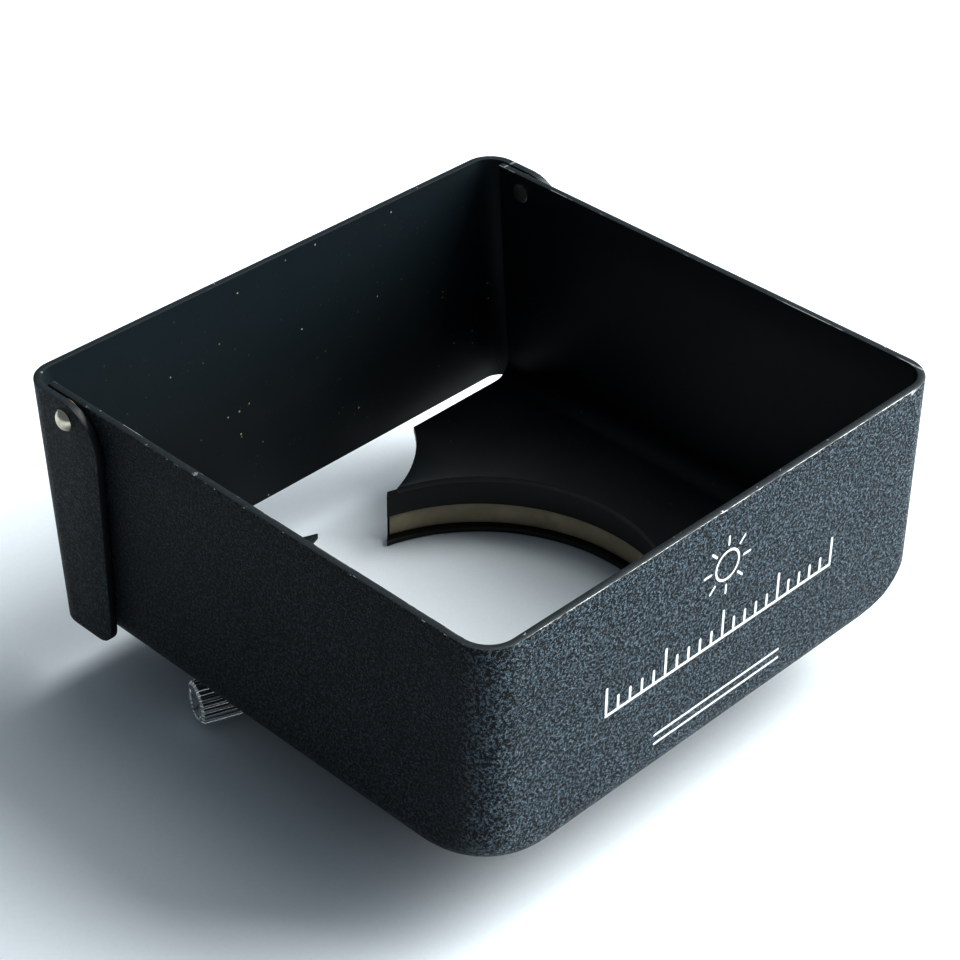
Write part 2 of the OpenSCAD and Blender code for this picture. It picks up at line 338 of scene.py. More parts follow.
def marked_wall_wear(s, ragged):
    """The thin bright line along the marked wall's upper edge and a few nicks on the side walls' edges."""
    front = rim_distance(s, s.y, SHELL_LOW.y, SHELL_HIGH.z)
    line = worn_band(front, ragged * (0.28 * MM), 0.28 * MM, 0.19 * MM)
    patchy = s.noise(5 * MM, roughness=0.6, shift=0.3).steps(0.36, 0.5)
    chip_x = SHELL_HIGH.x - 5.5 * MM
    from_chip = ((s.x - chip_x) ** 2 + (s.z - SHELL_HIGH.z) ** 2).root()
    chip = worn_band(from_chip, ragged * (1.2 * MM), 1.35 * MM, 1.0 * MM)
    on_front = s.y.steps(SHELL_LOW.y + 0.5 * MM, SHELL_LOW.y + 0.2 * MM)
    left = rim_distance(s, s.x, SHELL_LOW.x, SHELL_HIGH.z)
    nicks = s.noise(1.6 * MM, detail=3.0, roughness=0.7, shift=0.7).steps(0.60, 0.66)
    along_front = (line * (patchy * 0.65 + 0.3)).at_least(chip * on_front * 0.7)
    return along_front.at_least(edge_nicks(left, ragged, nicks))


def flap_wear(s, ragged):
    """Nicks along the flap's upper edge and its returns."""
    top = abs(s.z - FLAP_HIGH.z)
    nicks = s.noise(1.5 * MM, detail=3.0, roughness=0.7, shift=0.5).steps(0.60, 0.68)
    return edge_nicks(top, ragged, nicks)


def inner_enamel(name, finish, dusty, open_end_light):
    """Smooth matt enamel inside, with painted light making it paler towards the open end by open_end_light,
    and dust and tiny chips by dusty.
    """
    s = Shader(name)
    ochre_dust, grey_fleck = (0.46, 0.43, 0.28), (0.16, 0.17, 0.12)
    spacing = 1.7 * MM
    cloud = s.noise(14 * MM, detail=3.0, roughness=0.55)
    fine = s.noise(0.22 * MM)
    # Painted light: paler towards the open end, where more light falls into the hood.
    open_end = s.z.steps(SHELL_LOW.z + 6 * MM, SHELL_HIGH.z)
    tone = s.mix(open_end * open_end_light, finish.smooth_black, [c * 4.5 for c in finish.smooth_black])
    haze = s.mix(cloud.steps(0.35, 0.75) * 0.6, tone, [c * 2.6 for c in finish.smooth_black])
    spots = s.cells(spacing)
    chosen = s.node("ShaderNodeSeparateColor", None, {"Color": s.cells(spacing, "Color")}, "Red")
    flocks = s.noise(11 * MM, roughness=0.6, shift=0.6).steps(0.42, 0.62)
    keep = (chosen + flocks * 0.12).steps(0.80, 0.86)
    dust = (spots + s.noise(0.3 * MM, roughness=0.6) * 0.12).steps(0.175, 0.11) * keep * dusty
    specks = s.noise(0.5 * MM, roughness=0.6, shift=0.9).steps(0.70, 0.76) * dusty
    flecked = s.mix(specks * 0.35, haze, grey_fleck)
    return s.finish(s.mix(dust * 0.8, flecked, ochre_dust), 0.40 + cloud * 0.22 + dust * 0.2, 0.0,
                    s.bump(fine + cloud * 0.4, 0.02 * MM, 0.5), Specular_IOR_Level=0.34)


def rim_enamel(name, finish, sheet):
    """The cut edge of the sheet: black enamel, with a paler slate tone near the open rim that is painted sky
    light on the upward edge, and dashes of bare metal there.
    """
    s = Shader(name)
    fine = s.noise(0.35 * MM, detail=3.0, roughness=0.6)
    dashes = s.noise(2.2 * MM, detail=4.0, roughness=0.7, shift=0.2).steps(0.655, 0.70)
    across = (abs(s.y - (SHELL_HIGH.y - sheet))).at_most(abs(abs(s.x) - (SHELL_HIGH.x - sheet)))
    inner_edge = (across + fine * 0.2 * MM).steps(0.30 * MM, 0.20 * MM)
    runs = s.noise(7 * MM, detail=3.0, roughness=0.65, shift=0.8).steps(0.50, 0.56)
    open_rim = s.z.steps(SHELL_HIGH.z - 4 * MM, SHELL_HIGH.z - 2 * MM)
    bare = dashes.at_least(inner_edge * runs * 0.55) * open_rim
    # Painted light: near the open rim the edge takes the slate tone of sky light on the upward faces; lower
    # down it stays black.
    skylit_rim = s.mix(fine.steps(0.35, 0.7), finish.rim_painted_skylight, [c * 2.0 for c in finish.rim_painted_skylight])
    tone = s.mix(open_rim, finish.smooth_black, skylit_rim)
    return s.finish(s.mix(bare, tone, finish.bare_metal), 0.45 - bare * 0.15, bare,
                    s.bump(fine, 0.05 * MM, 0.7))


def ring_enamel(name, finish):
    """Smoother enamel on the turned ring, faintly lined by the lathe."""
    s = Shader(name)
    lines = s.noise(0.25 * MM, stretch=(0.02, 0.02, 1))
    cloud = s.noise(6 * MM)
    tone = s.mix(cloud.steps(0.3, 0.8), finish.ring_black, [c * 1.8 for c in finish.ring_black])
    return s.finish(tone, 0.34 + lines * 0.14, 0.0, s.bump(lines, 0.02 * MM, 0.5), Specular_IOR_Level=0.4)


def felt(name, finish):
    """Worn felt: short fibres, soft mottling and a darker band near the lip."""
    s = Shader(name)
    fibres = s.noise(0.16 * MM, detail=4.0, roughness=0.75, stretch=(1, 1, 2.2))
    blotch = s.noise(3.5 * MM, detail=3.0, roughness=0.6)
    pale = [c * 1.22 for c in finish.felt]
    dark = [c * 0.62 for c in finish.felt]
    tone = s.mix(blotch.steps(0.35, 0.75), finish.felt, pale)
    tone = s.mix(fibres.steps(0.62, 0.8) * 0.5, tone, dark)
    # Darker towards the lip, at the bottom of the lining.
    darker_near_lip = (s.z + blotch * 1.2 * MM).steps(1.9 * MM, 1.3 * MM)
    return s.finish(s.mix(darker_near_lip * 0.5, tone, dark), 0.93, 0.0, s.bump(fibres, 0.05 * MM, 0.8),
                    Specular_IOR_Level=0.15)


def polished(name, metal, roughness, tarnish, scratch):
    """Plated or turned metal with fine scratches and a breath of tarnish."""
    s = Shader(name)
    lines = s.noise(0.12 * MM, detail=3.0, roughness=0.6, stretch=(1, 6, 1))
    cloud = s.noise(1.4 * MM, detail=3.0, roughness=0.6)
    browned = [share * left for share, left in zip(metal, (0.55, 0.50, 0.40))]
    tone = s.mix(cloud.steps(0.42, 0.75) * tarnish, metal, browned)
    return s.finish(tone, roughness + cloud * 0.12, 1.0, s.bump(lines, 0.008 * MM, scratch))


def fill_paint(name, finish):
    """White paint wiped into engraved strokes, a little uneven."""
    s = Shader(name)
    grain = s.noise(0.25 * MM, detail=3.0, roughness=0.6)
    tone = s.mix(grain.steps(0.55, 0.8), finish.fill_white, [c * 0.72 for c in finish.fill_white])
    return s.finish(tone, 0.62, 0.0, s.bump(grain, 0.03 * MM, 0.5))


def floor_paper(name, paper):
    """Pale matt card under the hood."""
    s = Shader(name)
    grain = s.noise(0.6 * MM)
    tone = s.mix(grain.steps(0.4, 0.7), paper, [c * 0.985 for c in paper])
    return s.finish(tone, 0.9, 0.0, s.bump(grain, 0.02 * MM, 0.2), Specular_IOR_Level=0.1)


# ------------------------------------------------------------------- modelling


def loft(bm, outlines):
    """Skins open outlines of equal length by extruding the first one's edges to each of the others."""
    verts = [bm.verts.new(point) for point in outlines[0]]
    edges = [bm.edges.new(pair) for pair in zip(verts, verts[1:])]
    for outline in outlines[1:]:
        geometry = bmesh.ops.extrude_edge_only(bm, edges=edges)["geom"]
        fresh = {v for v in geometry if isinstance(v, bmesh.types.BMVert)}
        verts = [next(e.other_vert(v) for e in v.link_edges if e.other_vert(v) in fresh) for v in verts]
        for vert, point in zip(verts, outline):
            vert.co = point
        edges = [bm.edges.get(pair) for pair in zip(verts, verts[1:])]
    return verts, edges


def chain(bm, verts):
    """Joins vertices by edges, and returns the edges."""
    return [bm.edges.get(pair) or bm.edges.new(pair) for pair in zip(verts, verts[1:])]


def arc(centre, radius, start, end, steps):
    """Points of an arc in the XY plane, from one angle to another, in degrees."""
    angles = [math.radians(start + (end - start) * i / steps) for i in range(steps + 1)]
    return [(centre[0] + radius * math.cos(a), centre[1] + radius * math.sin(a)) for a in angles]


def rounded(corners, radius, steps=3):
    """A closed polygon whose corners are rounded by short arcs of Bezier shape."""
    points = []
    for before, corner, after in zip(corners[-1:] + corners[:-1], corners, corners[1:] + corners[:1]):
        here = Vector(corner)
        to_before, to_after = Vector(before) - here, Vector(after) - here
        reach = min(radius, to_before.length * 0.45, to_after.length * 0.45)
        first, last = here + to_before.normalized() * reach, here + to_after.normalized() * reach
        for i in range(steps + 1):
            t = i / steps
            points.append(first * (1 - t) ** 2 + here * 2 * t * (1 - t) + last * t ** 2)
    return points


def lathe(bm, profile, steps, closed):
    """Spins a profile of radius and height about Z into a closed solid."""
    verts = [bm.verts.new((radius, 0, height)) for radius, height in profile]
    edges = chain(bm, verts + verts[:1] if closed else verts)
    bmesh.ops.spin(bm, geom=verts + edges, cent=(0, 0, 0), axis=(0, 0, 1), dvec=(0, 0, 0),
                   angle=math.tau, steps=steps, use_merge=True, use_duplicate=False)
    bmesh.ops.remove_doubles(bm, verts=bm.verts, dist=1e-7)
    bmesh.ops.recalc_face_normals(bm, faces=bm.faces)


def along(direction, origin):
    """The matrix that turns +Z to a direction and moves the origin."""
    return Matrix.Translation(origin) @ Vector(direction).to_track_quat("Z", "Y").to_matrix().to_4x4()


def make_object(bm, name, materials):
    mesh = bpy.data.meshes.new(name)
    bm.to_mesh(mesh)
    bm.free()
    obj = bpy.data.objects.new(name, mesh)
    bpy.context.scene.collection.objects.link(obj)
    for material in materials:
        mesh.materials.append(material)
    return obj


def add_modifier(obj, kind, **settings):
    modifier = obj.modifiers.new(kind.title(), kind)
    for key, value in settings.items():
        setattr(modifier, key, value)


def apply_modifiers(obj):
    """Puts the modified shape into the object's own mesh."""
    bpy.context.view_layer.update()
    evaluated = obj.evaluated_get(bpy.context.evaluated_depsgraph_get())
    mesh = bpy.data.meshes.new_from_object(evaluated)
    mesh.name = obj.name
    obj.modifiers.clear()
    obj.data = mesh


def carve(obj, cutters, operation="DIFFERENCE"):
    """Cuts other solids out of an object, or joins them to it, and removes them."""
    for cutter in cutters:
        add_modifier(obj, "BOOLEAN", operation=operation, solver="EXACT", object=cutter)
    apply_modifiers(obj)
    for cutter in cutters:
        bpy.data.objects.remove(cutter)


def box_cutter(low, high, matrix):
    bm = bmesh.new()
    low, high = Vector(low), Vector(high)
    size = Matrix.Diagonal((*(high - low), 1))
    bmesh.ops.create_cube(bm, size=1, matrix=matrix @ Matrix.Translation((low + high) / 2) @ size)
    return make_object(bm, "cutter", [])


def rod(radius, start, end, matrix, segments=48):
    """A round rod along its matrix's Z between two heights."""
    bm = bmesh.new()
    middle = Matrix.Translation((0, 0, (start + end) / 2))
    bmesh.ops.create_cone(bm, cap_ends=True, segments=segments, radius1=radius, radius2=radius,
                          depth=end - start, matrix=matrix @ middle)
    return make_object(bm, "rod", [])


def thicken(obj, p):
    """Gives a pressed skin its sheet's thickness and rounds the cut edges."""
    add_modifier(obj, "SOLIDIFY", thickness=p.sheet, offset=-1, use_even_offset=True,
                 use_quality_normals=True, material_offset=1, material_offset_rim=2)
    add_modifier(obj, "BEVEL", width=p.edge_round, segments=2, limit_method="ANGLE",
                 angle_limit=math.radians(60), harden_normals=False)
    apply_modifiers(obj)


def pivot_hole(radius):
    """A cutter along the hinge's axis through both sides."""
    past_sides = 50 * MM
    return rod(radius, -past_sides, past_sides, along((1, 0, 0), PIVOT))


def finish_piece(obj, body, replaces=(), smooth_angle=32):
    """Shades a piece, hides the frame's parts that it replaces and lets it ride on its body."""
    obj.data.shade_smooth()
    obj.data.set_sharp_from_angle(angle=math.radians(smooth_angle))
    if replaces:
        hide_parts(*replaces)
    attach(obj, body)


# ----------------------------------------------------------------- hood shell


def knuckle_share(height, knuckle_height):
    """Share of the way from the corner's radius to the knuckle's, at a height above the underside."""
    if height >= knuckle_height:
        return 0.0
    return 1 - (1 - (1 - height / knuckle_height) ** 1.5) ** (2 / 3)


def shell_outline(p, height, draw):
    """The shell's outer outline at one height, from the left wall's free end to the right wall's."""
    half, back = SHELL_HIGH.x, SHELL_LOW.y
    radius = p.corner_radius + (p.knuckle_radius - p.corner_radius) * knuckle_share(height, p.knuckle_height)
    drop = SHELL_HIGH.z - SHELL_LOW.z - height
    end = SHELL_HIGH.y - drop * math.tan(bpy.context.scene.hood.flap.lean)
    left = arc((radius - half, back + radius), radius - draw, 180, 270, p.corner_steps)
    right = [(-x, y) for x, y in reversed(left)]
    side = half - draw
    plan = [(-side, end), (-side, end / 2), *left, *right, (side, end / 2), (side, end)]
    return [(x, y, SHELL_LOW.z + height) for x, y in plan]


def shell_levels(p):
    """Heights above the underside and how far the bend draws the outline in there, from the rim down."""
    total = SHELL_HIGH.z - SHELL_LOW.z
    wall_steps, knuckle_steps, bend_steps = 5, 4, 8
    wall = [total - (total - p.knuckle_height) * i / wall_steps for i in range(wall_steps)]
    knuckle = [p.bend_radius + (p.knuckle_height - p.bend_radius) * i / knuckle_steps
               for i in range(knuckle_steps, 0, -1)]
    levels = [(height, 0.0) for height in wall + knuckle]
    for i in range(bend_steps + 1):
        angle = math.radians(90 * i / bend_steps)
        levels.append((p.bend_radius * (1 - math.sin(angle)), p.bend_radius * (1 - math.cos(angle))))
    return levels


def floor_chain(p):
    """The floor's inner outline: edge under the flap, notch, round hole, notch and edge again."""
    notch, hole = p.notch_radius, p.floor_hole
    corner = math.degrees(math.asin((p.notch_centre - p.floor_edge) / notch))
    meet_y = (p.notch_centre ** 2 + hole ** 2 - notch ** 2) / (2 * p.notch_centre)
    on_hole = math.degrees(math.asin(meet_y / hole))
    on_notch = math.degrees(math.asin((p.notch_centre - meet_y) / notch))
    left_notch = arc((0, p.notch_centre), notch, 180 + corner, 180 + on_notch, steps=12)
    around = arc((0, 0), hole, 180 - on_hole, 360 + on_hole, steps=120)
    right_notch = [(-x, y) for x, y in reversed(left_notch)]
    return left_notch + around[1:-1] + right_notch


def build_shell(settings):
    p, finish = settings.shell, settings.finish
    bm = bmesh.new()
    outlines = [shell_outline(p, height, draw) for height, draw in shell_levels(p)]
    last, last_edges = loft(bm, outlines)
    floor_z = SHELL_LOW.z
    inner = [bm.verts.new((x, y, floor_z)) for x, y in floor_chain(p)]
    border = chain(bm, [last[0], *inner, last[-1]])
    bmesh.ops.triangle_fill(bm, use_beauty=True, use_dissolve=False, edges=last_edges + border)
    bmesh.ops.recalc_face_normals(bm, faces=bm.faces)
    wall = min(bm.faces, key=lambda f: f.calc_center_median().y)
    if wall.normal.y > 0:
        bmesh.ops.reverse_faces(bm, faces=bm.faces)
    shell = make_object(bm, "hood_shell_pressing",
                        [crinkle_enamel("crinkle_enamel_shell", finish, marked_wall_wear),
                         inner_enamel("inner_enamel_shell", finish, dusty=0.15, open_end_light=0.0),
                         rim_enamel("rim_enamel_shell", finish, p.sheet)])
    thicken(shell, p)
    carve(shell, [pivot_hole(settings.flap.rivet_shank)])
    finish_piece(shell, "hood", ["hood_shell"])


# ----------------------------------------------------------------- hinged flap


def flap_levels(p):
    """Depths below the flap's top and the return edge's setback there."""
    total = FLAP_HIGH.z - FLAP_LOW.z
    round_steps, straight_steps = 8, 6
    levels = []
    for i in range(round_steps + 1):
        angle = math.radians(90 * i / round_steps)
        levels.append((p.return_top * (1 - math.cos(angle)), p.return_top * (1 - math.sin(angle))))
    straight = total - p.return_top - p.return_foot
    levels += [(p.return_top + straight * i / straight_steps, 0.0) for i in range(1, straight_steps + 1)]
    for i in range(1, round_steps + 1):
        angle = math.radians(90 * i / round_steps)
        levels.append((total - p.return_foot * (1 - math.sin(angle)), p.return_foot * (1 - math.cos(angle))))
    return levels


def flap_outline(p, depth, setback, steps):
    half = FLAP_HIGH.x
    face = FLAP_HIGH.y - depth * math.tan(p.lean)
    edge = FLAP_LOW.y + setback
    left = arc((p.corner_radius - half, face - p.corner_radius), p.corner_radius, 180, 90, steps)
    middle = (edge + left[0][1]) / 2
    plan = [(-half, edge), (-half, middle), *left]
    plan += [(-x, y) for x, y in reversed(plan)]
    return [(x, y, FLAP_HIGH.z - depth) for x, y in plan]


def build_flap(settings):
    p, finish = settings.flap, settings.finish
    bm = bmesh.new()
    corner_steps = settings.shell.corner_steps
    loft(bm, [flap_outline(p, depth, setback, corner_steps) for depth, setback in flap_levels(p)])
    bmesh.ops.recalc_face_normals(bm, faces=bm.faces)
    panel = max(bm.faces, key=lambda f: f.calc_center_median().y)
    if panel.normal.y < 0:
        bmesh.ops.reverse_faces(bm, faces=bm.faces)
    flap = make_object(bm, "flap_pressing",
                       [crinkle_enamel("crinkle_enamel_flap", finish, flap_wear),
                        inner_enamel("inner_enamel_flap", finish, dusty=1.0, open_end_light=1.0),
                        rim_enamel("rim_enamel_flap", finish, settings.shell.sheet)])
    thicken(flap, settings.shell)
    carve(flap, [pivot_hole(p.rivet_shank + RUNNING_PLAY)])
    finish_piece(flap, "flap", ["hinged_flap"])


# --------------------------------------------------------- rivets and washers


def build_rivets(settings):
    """Both rivets: closed tail inside, shank, and a domed head with a thin rim outside."""
    p = settings.flap
    rivet_length, tail_radius, tail_chamfer, dome_steps = 3.45 * MM, 1.35 * MM, 0.08 * MM, 10
    head_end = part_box("pivot_rivets")[1].x
    tail_end = head_end - rivet_length
    head_start = head_end - p.rivet_dome
    wall_inside = SHELL_HIGH.x - settings.shell.sheet
    dome_radius = (p.rivet_head ** 2 + p.rivet_dome ** 2) / (2 * p.rivet_dome)
    dome_centre = head_end - dome_radius
    side = math.asin(p.rivet_head / dome_radius)
    angles = [side * i / dome_steps for i in range(dome_steps, -1, -1)]
    dome = [(dome_radius * math.sin(a), dome_centre + dome_radius * math.cos(a)) for a in angles]
    profile = [(0, tail_end), (tail_radius * 0.8, tail_end), (tail_radius, tail_end + tail_chamfer),
               (tail_radius, wall_inside), (p.rivet_shank, wall_inside), (p.rivet_shank, head_start),
               (p.rivet_head * 0.94, head_start), *dome]
    bm = bmesh.new()
    lathe(bm, profile, 48, closed=False)
    bmesh.ops.transform(bm, matrix=along((1, 0, 0), (0, PIVOT.y, PIVOT.z)), verts=bm.verts)
    geometry = bm.verts[:] + bm.edges[:] + bm.faces[:]
    copied = bmesh.ops.duplicate(bm, geom=geometry)["geom"]
    verts = [v for v in copied if isinstance(v, bmesh.types.BMVert)]
    half_turn = Matrix.Rotation(math.pi, 4, "Z")
    bmesh.ops.transform(bm, matrix=half_turn, verts=verts, space=Matrix.Translation((0, -PIVOT.y, 0)))
    nickel = polished("nickel_plate", settings.finish.nickel, roughness=0.16, tarnish=0.6, scratch=0.5)
    rivets = make_object(bm, "pivot_rivet_pair", [nickel])
    finish_piece(rivets, "hood", ["pivot_rivets"])


# ------------------------------------------------------ clamp ring and lining


def screw_frame():
    """The matrix whose Z runs out along the thumbscrew's axis, from the ring's axis."""
    return along(SCREW_OUTWARD, Vector((0, 0, SCREW_HEIGHT)))


def shoe_pocket(reach):
    """The slot that the shoe slides in, cut from inside the bore to a reach off the ring's axis."""
    low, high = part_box("pressure_shoe")
    inside, half_width, play = 23 * MM, 4.15 * MM, 0.15 * MM
    turn = Matrix.Rotation(math.atan2(SCREW_OUTWARD.y, SCREW_OUTWARD.x), 4, "Z")
    return box_cutter((inside, -half_width, low.z - play), (reach, half_width, high.z + play), turn)


def neighbouring_barrel(shell, foot, top):
    """The lens barrel beside the hood, as a cutter between two heights."""
    return rod(shell.notch_radius, foot, top, Matrix.Translation((0, shell.notch_centre, 0)), BARREL_STEPS)


def opening_cutter(p, setback):
    """The flared opening between the ring's ends, whose edges lie on the inner wall."""
    left, right = p.gap_left + setback, p.gap_right + setback
    left_y, right_y = (math.sqrt(p.band_radius ** 2 - gap ** 2) for gap in (left, right))
    flare = math.tan(p.flare)
    depth, foot, height = 40 * MM, -1 * MM, 15 * MM
    apex_y = (left_y + right_y) / 2 - (left + right) / (2 * flare)
    apex_x = right - (right_y - apex_y) * flare
    spread = depth * flare
    bm = bmesh.new()
    corners = [(apex_x, apex_y), (apex_x + spread, apex_y + depth), (apex_x - spread, apex_y + depth)]
    face = bm.faces.new([bm.verts.new((x, y, foot)) for x, y in corners])
    raised = bmesh.ops.extrude_face_region(bm, geom=[face])["geom"]
    moved = [v for v in raised if isinstance(v, bmesh.types.BMVert)]
    bmesh.ops.translate(bm, verts=moved, vec=(0, 0, height))
    bmesh.ops.recalc_face_normals(bm, faces=bm.faces)
    return make_object(bm, "cutter", [])


def clearance_cutter(p, shell):
    """What the neighbouring barrel takes off the outside of the ring's ends."""
    foot, top, past_ring = -1 * MM, 11 * MM, 45 * MM
    bm = bmesh.new()
    lathe(bm, [(p.tongue_radius, foot), (past_ring, foot), (past_ring, top), (p.tongue_radius, top)],
          RING_STEPS, closed=True)
    crescent = make_object(bm, "cutter", [])
    carve(crescent, [neighbouring_barrel(shell, -2 * MM, 20 * MM)], "INTERSECT")
    return crescent


def build_ring(settings):
    p, shell = settings.ring, settings.shell
    top, flange_thickness, boss_radius, edge_round = RING_HIGH.z, 1.0 * MM, 3.7 * MM, 0.3 * MM
    under_flange = top - flange_thickness
    corners = [(p.lip_radius, 0), (p.outer_radius, 0), (p.outer_radius, under_flange),
               (p.flange_radius, under_flange), (p.flange_radius, top), (p.band_radius, top),
               (p.band_radius, p.lining_top), (p.groove_radius, p.lining_top),
               (p.groove_radius, p.lip_height), (p.lip_radius, p.lip_height)]
    bm = bmesh.new()
    lathe(bm, rounded(corners, edge_round), RING_STEPS, closed=True)
    ring = make_object(bm, "clamp_ring_turned", [ring_enamel("ring_enamel", settings.finish)])
    boss = rod(boss_radius, p.groove_radius, p.outer_radius + BOSS_HEIGHT, screw_frame())
    carve(ring, [boss], "UNION")
    carve(ring, [opening_cutter(p, 0),
                 neighbouring_barrel(shell, p.notch_level, 30 * MM),
                 clearance_cutter(p, shell),
                 shoe_pocket(BUSH_INSIDE),
                 rod(BUSH_NECK, 24 * MM, 35 * MM, screw_frame())])
    finish_piece(ring, "hood", ["clamp_ring"])


def build_lining(settings):
    p = settings.ring
    edge_round, end_setback = 0.14 * MM, 0.35 * MM
    corners = [(p.lining_radius, p.lip_height), (p.groove_radius, p.lip_height),
               (p.groove_radius, p.lining_top), (p.lining_radius, p.lining_top)]
    bm = bmesh.new()
    lathe(bm, rounded(corners, edge_round, 2), RING_STEPS, closed=True)
    lining = make_object(bm, "felt_lining", [felt("felt_lining", settings.finish)])
    carve(lining, [opening_cutter(p, end_setback), shoe_pocket(30 * MM)])
    finish_piece(lining, "hood", ["ring_lining"])


def build_bush(settings):
    """The brass bush: a collar with chamfered rims on a neck that goes through the ring."""
    p = settings.ring
    bore, neck, collar = settings.screw.thread_radius + RUNNING_PLAY, BUSH_NECK, 2.9 * MM
    inside, seat, outside = BUSH_INSIDE + 0.1 * MM, p.outer_radius + BOSS_HEIGHT, 31.4 * MM
    chamfer = 0.25 * MM
    profile = [(bore, inside), (neck, inside), (neck, seat), (collar - chamfer, seat),
               (collar, seat + chamfer), (collar, outside - chamfer), (collar - chamfer, outside),
               (bore + chamfer, outside), (bore, outside - chamfer)]
    bm = bmesh.new()
    lathe(bm, profile, 64, closed=True)
    bmesh.ops.transform(bm, matrix=screw_frame(), verts=bm.verts)
    brass = polished("turned_brass", settings.finish.brass, roughness=0.30, tarnish=0.7, scratch=0.8)
    bush = make_object(bm, "thread_bush_turned", [brass])
    finish_piece(bush, "hood", ["thread_bush"])


# ----------------------------------------------------------------- thumbscrew


def knurled_outline(bm, p, shrink, height):
    """One closed ring of the knurled head, whose radius dips between ridges."""
    per_ridge = 6
    made = bmesh.ops.create_circle(bm, segments=p.ridges * per_ridge, radius=p.head_radius)["verts"]
    for vert in made:
        turn = math.atan2(vert.co.y, vert.co.x) * p.ridges
        dip = (1 - abs(math.cos(turn / 2)) ** 0.7) * p.groove
        radius = (p.head_radius - dip) * shrink
        vert.co = Vector((vert.co.x, vert.co.y, 0)).normalized() * radius + Vector((0, 0, height))
    return [e for e in bm.edges if e.verts[0] in made and e.verts[1] in made]


def build_thumbscrew(settings):
    """Knurled head with chamfered ends, neck, threaded shank and plain tip, as one turned piece."""
    p = settings.screw
    head_end, bevel, end_share = 39.1 * MM, 0.3 * MM, 0.88
    head_start = head_end - p.head_length
    bm = bmesh.new()
    levels = ((end_share, head_start), (1.0, head_start + bevel),
              (1.0, head_end - bevel), (end_share, head_end))
    rings = [knurled_outline(bm, p, shrink, height) for shrink, height in levels]
    for first, second in zip(rings, rings[1:]):
        bmesh.ops.bridge_loops(bm, edges=first + second)
    for ring in (rings[0], rings[-1]):
        bmesh.ops.holes_fill(bm, edges=ring, sides=0)
    end_face = max((f for f in bm.faces if len(f.verts) > 8), key=lambda f: f.calc_center_median().z)
    for step, sink in ((0.35 * MM, 0), (0.25 * MM, -0.12 * MM)):
        bmesh.ops.inset_region(bm, faces=[end_face], thickness=step, depth=sink)
    bmesh.ops.recalc_face_normals(bm, faces=bm.faces)
    chrome = polished("chrome_plate", settings.finish.chrome, roughness=0.10, tarnish=0.35, scratch=0.4)
    head = make_object(bm, "thumbscrew_turned", [chrome])

    neck_start, tip_start, shank_start = head_start - 0.8 * MM, 26.45 * MM, 27.2 * MM
    neck, tip, tip_chamfer, thread_depth = 1.9 * MM, 0.95 * MM, 0.15 * MM, 0.26 * MM
    into_head = head_start + 0.2 * MM
    root = p.thread_radius - thread_depth
    profile = [(0, tip_start), (tip - tip_chamfer, tip_start), (tip, tip_start + tip_chamfer),
               (tip, shank_start)]
    turns = int((neck_start - shank_start - 0.3 * MM) / p.pitch)
    for i in range(turns):
        start = shank_start + 0.05 * MM + i * p.pitch
        profile += [(root, start)] + [(p.thread_radius, start + p.pitch * share) for share in (0.42, 0.58)]
    profile += [(root, neck_start), (neck, neck_start), (neck, into_head), (0, into_head)]
    stem = bmesh.new()
    lathe(stem, profile, 48, closed=False)
    carve(head, [make_object(stem, "stem", [])], "UNION")
    head.data.transform(screw_frame())
    finish_piece(head, "screw", ["thumbscrew"], 25)


# ------------------------------------------------------- kept nodes and marks


def dress_kept_nodes(settings):
    """Gives the frame's own small pieces their finishes."""
    brass = polished("stamped_brass", settings.finish.brass, roughness=0.34, tarnish=0.9, scratch=0.9)
    pad = felt("felt_pad", settings.finish)
    for node, material in (("friction_washers", brass), ("pressure_shoe", brass), ("shoe_pad", pad)):
        mesh = frame["nodes"][node].data
        mesh.materials.clear()
        mesh.materials.append(material)


def stroke(bm, start, end, width):
    """A flat engraved stroke on the marked wall between two points of X and Z."""
    a, b = Vector((start[0], 0, start[1])), Vector((end[0], 0, end[1]))
    run = b - a
    turn = Matrix.Rotation(-math.atan2(run.z, run.x), 4, "Y")
    size = Matrix.Diagonal((run.length + width, 2 * MARK_RELIEF, width, 1))
    place = Matrix.Translation((a + b) / 2 + Vector((0, SHELL_LOW.y, 0)))
    made = bmesh.ops.create_cube(bm, size=1, matrix=place @ turn @ size)["verts"]
    upright = {e for v in made for e in v.link_edges
               if abs((e.verts[0].co - e.verts[1].co).y) > MARK_RELIEF}
    bmesh.ops.bevel(bm, geom=list(upright), offset=width * 0.45, offset_type="OFFSET", segments=3,
                    profile=0.5, affect="EDGES", material=-1)


def build_sun(bm, middle, width):
    """A circle with eight rays round a point of X and Z."""
    radius, ray_start, ray_end, rays = 2.0 * MM, 2.9 * MM, 4.0 * MM, 8
    section = [(radius + side * width / 2, SHELL_LOW.y + out * MARK_RELIEF)
               for side, out in ((-1, -1), (1, -1), (1, 1), (-1, 1))]
    verts = [bm.verts.new((middle[0] + off, y, middle[1])) for off, y in section]
    edges = chain(bm, verts + verts[:1])
    bmesh.ops.spin(bm, geom=verts + edges, cent=(middle[0], 0, middle[1]), axis=(0, 1, 0), dvec=(0, 0, 0),
                   angle=math.tau, steps=48, use_merge=True, use_duplicate=False)
    bmesh.ops.remove_doubles(bm, verts=bm.verts, dist=1e-7)
    bmesh.ops.recalc_face_normals(bm, faces=bm.faces)
    for i in range(rays):
        angle = math.tau * i / rays
        near, far = ((middle[0] + r * math.cos(angle), middle[1] + r * math.sin(angle))
                     for r in (ray_start, ray_end))
        stroke(bm, near, far, width)


def build_rule(bm, level, width):
    """A base line with 21 ticks, of which every fifth from the middle is long."""
    reach, spacing, each_side = 20.0 * MM, 2 * MM, 10
    stroke(bm, (-reach, level), (reach, level), width)
    for i in range(-each_side, each_side + 1):
        tall = 3.9 * MM if i % 5 == 0 else 1.9 * MM
        stroke(bm, (i * spacing, level + width), (i * spacing, level + tall), width)


